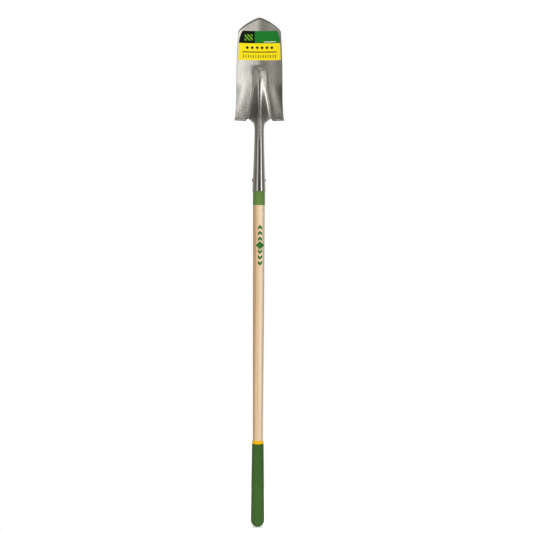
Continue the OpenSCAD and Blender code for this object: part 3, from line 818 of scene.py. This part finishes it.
ticks = times(tree, within(tree, every(tree, film_x, tick_pitch), 0.5, tick_share),
              inside(tree, 0.0, scale_half, tick_up, tick_half))
dark_print = math_node(tree, "MAXIMUM", lozenges, math_node(tree, "MAXIMUM", rule, ticks))
slant = every(tree, plus(tree, film_x, film_height), bar_pitch)
bars = times(tree, within(tree, slant, 0.5, bar_share),
             inside(tree, bars_x, bars_half_w, bars_up, bars_half_h))
pale_rule = inside(tree, pale_x, pale_half_w, pale_up, pale_half_h)
panel = blended(tree, math_node(tree, "LESS_THAN", film_x, block_edge), panel_green, block_black)
panel = blended(tree, bars, panel, bar_green)
panel = blended(tree, pale_rule, panel, rule_pale)
lower = blended(tree, dark_print, film_yellow, print_black)
on_panel = math_node(tree, "GREATER_THAN", film_height, label_len - label_panel_len)
ink = blended(tree, on_panel, lower, panel)
mottle = cloudy(tree, mottle_scale, detail=2.0)
ink = blended(tree, ranged(tree, mottle, 0.3, 0.7, 0.0, 0.12), ink, mottle_grey, "MULTIPLY")
wire(tree, shader, ink, ranged(tree, mottle, 0.3, 0.7, 0.26, 0.34),
     bumped(tree, mottle, strength=0.1, distance=0.00005))
label.data.materials.append(film)
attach(label, "root")
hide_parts("blade_label")


# Stage: a plain white floor of paper that keeps the shadow, under the butt of the grip. Round it is a
# pale studio, dim beside and behind the camera, so that the bare steel has something to mirror.
# The camera sees the studio white.
floor_r, floor_sides, floor_glow = 0.45, 96, 0.45
paper_white, pure_white = (0.8, 0.8, 0.8, 1), (1, 1, 1, 1)
floor_level = solid_low.z


def ray_kinds(tree):
    """Whether a ray comes from the camera, and whether through a mirror or a clear thing."""
    path = add(tree, "ShaderNodeLightPath").outputs
    mirrored = math_node(tree, "MAXIMUM", path["Is Glossy Ray"], path["Is Transmission Ray"])
    return path["Is Camera Ray"], mirrored


floor_turns = [2 * math.pi * k / floor_sides for k in range(floor_sides)]
floor_mesh = bpy.data.meshes.new("floor")
floor_rim = [(floor_r * math.cos(a), floor_r * math.sin(a), floor_level) for a in floor_turns]
floor_mesh.from_pydata(floor_rim, [], [tuple(range(floor_sides))])
floor = bpy.data.objects.new("floor", floor_mesh)
bpy.context.scene.collection.objects.link(floor)
paper = bpy.data.materials.new("white_floor_paper")
paper.use_nodes = True
tree = paper.node_tree
tree.nodes.clear()
from_camera, mirrored = ray_kinds(tree)
seen = math_node(tree, "MAXIMUM", from_camera, mirrored)
matt = add(tree, "ShaderNodeBsdfDiffuse", {"Color": paper_white})
glow = add(tree, "ShaderNodeEmission", {"Color": pure_white, "Strength": times(tree, seen, floor_glow)})
both = add(tree, "ShaderNodeAddShader", {0: matt.outputs[0], 1: glow.outputs[0]})
add(tree, "ShaderNodeOutputMaterial", {"Surface": both.outputs[0]})
floor.data.materials.append(paper)

world = bpy.data.worlds.new("pale_studio")
bpy.context.scene.world = world
world.use_nodes = True
tree = world.node_tree
tree.nodes.clear()
ray = add(tree, "ShaderNodeSeparateXYZ", {0: add(tree, "ShaderNodeTexCoord").outputs["Generated"]}).outputs
around = math_node(tree, "ARCTAN2", ray[0], times(tree, ray[1], -1.0))
around = ranged(tree, around, -math.pi, math.pi)
warmth, coolness = 0.05, 0.11


def around_the_room(levels):
    """Brightness by degrees round the room from the camera's side, right positive.

    Dim parts are a little warm.
    """
    made = add(tree, "ShaderNodeValToRGB", {0: around})
    stops = made.color_ramp.elements
    while len(stops) < len(levels):
        stops.new(0.5)
    for stop, (degrees, level) in zip(stops, levels):
        dim = max(0.0, 1.0 - level)
        stop.position = degrees / 360 + 0.5
        stop.color = (level * (1 + warmth * dim), level, level * (1 - coolness * dim), 1)
    return made.outputs[0]


def over(light, heights, other, blend="MIX"):
    """Goes over from one light to another between two heights, each the z of the ray."""
    return blended(tree, ranged(tree, ray[2], *heights, smooth=True), light, other, blend)


eye_level = around_the_room([
    (-180, 0.6), (-160, 0.42), (-125, 0.38), (-97, 0.32), (-75, 0.2), (-46, 0.17), (-39, 0.9), (-23, 1.1),
    (-16, 0.08), (0, 0.04), (24, 0.06), (39, 0.12), (55, 0.25), (81, 0.14), (97, 0.28), (125, 0.6),
    (150, 0.8)])
upper_room = around_the_room([
    (-180, 0.7), (-130, 0.1), (-97, 0.02), (-60, 0.05), (-30, 0.2), (0, 0.24), (20, 0.38), (45, 0.4),
    (60, 0.12), (97, 0.06), (130, 0.2), (150, 0.8)])
far_floor = around_the_room([
    (-180, 0.8), (-150, 0.7), (-97, 0.2), (-57, 0.3), (-40, 0.38), (-4, 0.4), (3, 0.58), (10, 0.62),
    (20, 0.52), (33, 0.4), (45, 0.42), (57, 0.5), (75, 0.2), (97, 0.2), (150, 0.8)])
floor_bounce = around_the_room([
    (-180, 0.8), (-150, 0.7), (-97, 0.15), (-66, 0.2), (-52, 0.31), (-40, 0.36), (-30, 0.43), (-20, 0.4),
    (-4, 0.34), (3, 1.3), (12, 1.45), (33, 1.45), (40, 1.45), (57, 1.4), (66, 0.4), (80, 0.15), (97, 0.15),
    (150, 0.8)])
near_floor = around_the_room([
    (-180, 0.8), (-150, 0.7), (-97, 0.05), (-60, 0.07), (-46, 0.1), (-39, 0.18), (-34, 0.7), (-28, 0.76),
    (-23, 0.42), (-18, 0.08), (14, 0.06), (20, 0.3), (27, 0.6), (32, 1.2), (36, 1.5), (39, 1.45),
    (43, 0.85), (60, 0.45), (75, 0.14), (97, 0.06), (150, 0.8)])
softbox = around_the_room([(-180, 0.0), (34, 0.0), (39, 2.2), (52, 2.2), (56, 0.0), (180, 0.0)])
lower_room, ceiling = (0.55, 0.55, 0.55, 1), (3.0, 3.0, 3.0, 1)

# The heights where each part of the room begins and where it is all there
near_floor_at, lower_room_at, softbox_at = (-0.1, -0.14), (-0.35, -0.5), (-0.08, 0.1)
eye_level_at, upper_room_at, ceiling_at = (0.03, 0.1), (0.185, 0.26), (0.75, 1.0)
far_floor_slopes, least_ahead, behind_at = (-0.068, -0.05), 0.1, (0.9, 0.985)
shade_high, shade_low, deepest_shade = -0.16, -0.6, 0.1
light = over(floor_bounce, near_floor_at, near_floor)
ahead = math_node(tree, "MAXIMUM", math_node(tree, "ABSOLUTE", ray[1]), least_ahead)
far_edge = ranged(tree, math_node(tree, "DIVIDE", ray[2], ahead), *far_floor_slopes, smooth=True)
light = blended(tree, far_edge, light, far_floor)
light = over(light, eye_level_at, eye_level)
light = over(light, softbox_at, softbox, "LIGHTEN")
light = over(light, upper_room_at, upper_room)
shade = ranged(tree, ray[2], shade_high, shade_low, 1.0, deepest_shade)
light = blended(tree, 1.0, light, shade, "MULTIPLY")
light = over(light, lower_room_at, lower_room)
light = over(light, ceiling_at, ceiling)
behind = ranged(tree, ray[1], *behind_at, smooth=True)
from_camera, mirrored = ray_kinds(tree)
seen = math_node(tree, "MAXIMUM", from_camera, times(tree, mirrored, behind))
light = blended(tree, seen, light, pure_white)
sky = add(tree, "ShaderNodeBackground", {"Color": light, "Strength": 1.0})
add(tree, "ShaderNodeOutputWorld", {"Surface": sky.outputs[0]})

# Two large soft lamps beside the camera fill the wood, rubber and print, and stay out of the metal
lamp_size, lamp_power, lamp_back, lamp_level, lamp_tilt = 2.0, 32.0, 2.4, 0.4, math.radians(85)
for lamp_name, lamp_x in (("fill_left", -1.5), ("fill_right", 1.5)):
    lamp = bpy.data.lights.new(lamp_name, "AREA")
    lamp.size = lamp_size
    lamp.energy = lamp_power
    lamp_object = bpy.data.objects.new(lamp_name, lamp)
    lamp_object.location = (lamp_x, -lamp_back, lamp_level)
    lamp_object.rotation_euler = (lamp_tilt, 0, math.atan2(lamp_x, lamp_back))
    lamp_object.visible_camera = False
    lamp_object.visible_glossy = False
    bpy.context.scene.collection.objects.link(lamp_object)

camera = bpy.data.cameras.new("camera")
camera.lens = 60.98
camera.sensor_width = 36.0
camera_object = bpy.data.objects.new("camera", camera)
camera_object.location = (0.0226, -2.6, 0.02724)
camera_object.rotation_euler = (math.radians(90), math.radians(-0.26), 0)
bpy.context.scene.collection.objects.link(camera_object)
bpy.context.scene.camera = camera_object
bpy.context.scene.view_settings.view_transform = "Standard"
